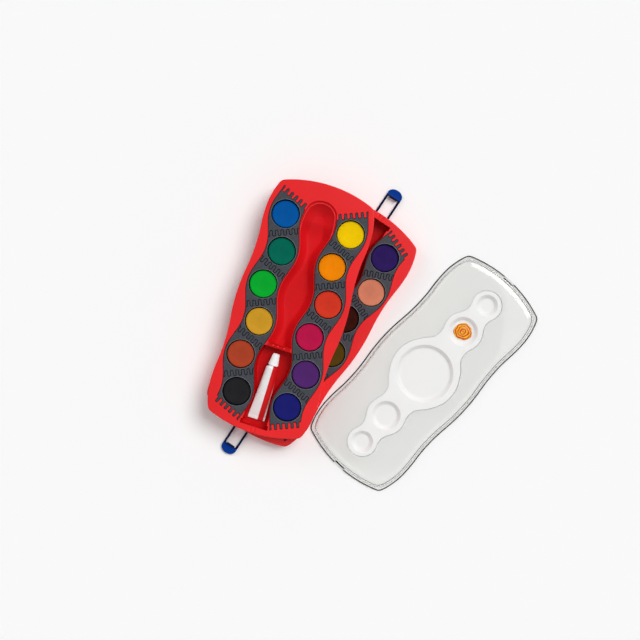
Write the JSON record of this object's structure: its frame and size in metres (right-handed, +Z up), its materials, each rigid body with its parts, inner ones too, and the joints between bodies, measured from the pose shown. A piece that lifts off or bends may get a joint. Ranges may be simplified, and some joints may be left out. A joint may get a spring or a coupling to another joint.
{
  "type": "watercolor paint palette",
  "caption": "Watercolour palette: fanned red trays with interlocking paint cups, clear mixing lid laid beside, swinging bails and a tube of white in its bay.",
  "frame": {"origin": "middle of the lower tray's base, on the table", "axes": "+Y along the lower tray towards the far bail, +X towards the lid, +Z up from the table"},
  "size_m": [0.3106, 0.3342, 0.03],
  "materials": {
    "tray_red": "glossy moulded",
    "cup_grey": "satin moulded",
    "bail_blue": "glossy moulded",
    "lid_clear": "clear, frosted round the wells",
    "tube_white": "white laminate with a plain red half",
    "cap_white": "ribbed white",
    "paint_blue": "dry pressed paint",
    "paint_teal": "dry pressed paint",
    "paint_green": "dry pressed paint",
    "paint_ochre": "dry pressed paint",
    "paint_rust": "dry pressed paint",
    "paint_black": "dry pressed paint",
    "paint_yellow": "dry pressed paint",
    "paint_orange": "dry pressed paint",
    "paint_vermilion": "dry pressed paint",
    "paint_magenta": "dry pressed paint",
    "paint_purple": "dry pressed paint",
    "paint_ultramarine": "dry pressed paint",
    "paint_sand": "dry pressed paint",
    "paint_sage": "dry pressed paint",
    "paint_olive": "dry pressed paint",
    "paint_umber": "dry pressed paint",
    "paint_salmon": "dry pressed paint",
    "paint_indigo": "dry pressed paint",
    "paint_lemon": "dry pressed paint",
    "paint_coral": "dry pressed paint",
    "paint_rose": "dry pressed paint",
    "paint_lilac": "dry pressed paint",
    "paint_turquoise": "dry pressed paint",
    "paint_mint": "dry pressed paint"
  },
  "bodies": {
    "lower": {"lower_tray": "tray_red", "lower_cup_sand": "cup_grey", "lower_paint_sand": "paint_sand", "lower_cup_sage": "cup_grey", "lower_paint_sage": "paint_sage", "lower_cup_olive": "cup_grey", "lower_paint_olive": "paint_olive", "lower_cup_umber": "cup_grey", "lower_paint_umber": "paint_umber", "lower_cup_salmon": "cup_grey", "lower_paint_salmon": "paint_salmon", "lower_cup_indigo": "cup_grey", "lower_paint_indigo": "paint_indigo", "lower_cup_lemon": "cup_grey", "lower_paint_lemon": "paint_lemon", "lower_cup_coral": "cup_grey", "lower_paint_coral": "paint_coral", "lower_cup_rose": "cup_grey", "lower_paint_rose": "paint_rose", "lower_cup_lilac": "cup_grey", "lower_paint_lilac": "paint_lilac", "lower_cup_turquoise": "cup_grey", "lower_paint_turquoise": "paint_turquoise", "lower_cup_mint": "cup_grey", "lower_paint_mint": "paint_mint"},
    "upper": {"upper_tray": "tray_red", "upper_cup_blue": "cup_grey", "upper_paint_blue": "paint_blue", "upper_cup_teal": "cup_grey", "upper_paint_teal": "paint_teal", "upper_cup_green": "cup_grey", "upper_paint_green": "paint_green", "upper_cup_ochre": "cup_grey", "upper_paint_ochre": "paint_ochre", "upper_cup_rust": "cup_grey", "upper_paint_rust": "paint_rust", "upper_cup_black": "cup_grey", "upper_paint_black": "paint_black", "upper_cup_yellow": "cup_grey", "upper_paint_yellow": "paint_yellow", "upper_cup_orange": "cup_grey", "upper_paint_orange": "paint_orange", "upper_cup_vermilion": "cup_grey", "upper_paint_vermilion": "paint_vermilion", "upper_cup_magenta": "cup_grey", "upper_paint_magenta": "paint_magenta", "upper_cup_purple": "cup_grey", "upper_paint_purple": "paint_purple", "upper_cup_ultramarine": "cup_grey", "upper_paint_ultramarine": "paint_ultramarine"},
    "far_clasp": {"far_bail": "bail_blue"},
    "near_clasp": {"near_bail": "bail_blue"},
    "cover": {"lid": "lid_clear"},
    "tube": {"tube_body": "tube_white"},
    "cap": {"tube_cap": "cap_white"}
  },
  "joints": [
    {"name": "upper_tray_lift", "type": "slide", "parent": "lower", "child": "upper", "axis": [0, 0, 1], "range_m": [0, 0.06]},
    {"name": "lid_lift", "type": "slide", "parent": "lower", "child": "cover", "axis": [0, 0, 1], "range_m": [0, 0.06]},
    {"name": "far_bail_swing", "type": "hinge", "parent": "lower", "child": "far_clasp", "pos_m": [0, 0.1317, 0.006], "axis": [1, 0, 0], "range_deg": [0, 90]},
    {"name": "near_bail_swing", "type": "hinge", "parent": "lower", "child": "near_clasp", "pos_m": [0, -0.1317, 0.006], "axis": [-1, 0, 0], "range_deg": [0, 90]},
    {"name": "tube_lift", "type": "slide", "parent": "upper", "child": "tube", "axis": [0, 0, 1], "range_m": [0, 0.03]},
    {"name": "tube_cap_turn", "type": "hinge", "parent": "tube", "child": "cap", "pos_m": [-0.00785, -0.06302, 0.02333], "axis": [-0.2676, 0.9585, 0.0981], "continuous": true}
  ]
}
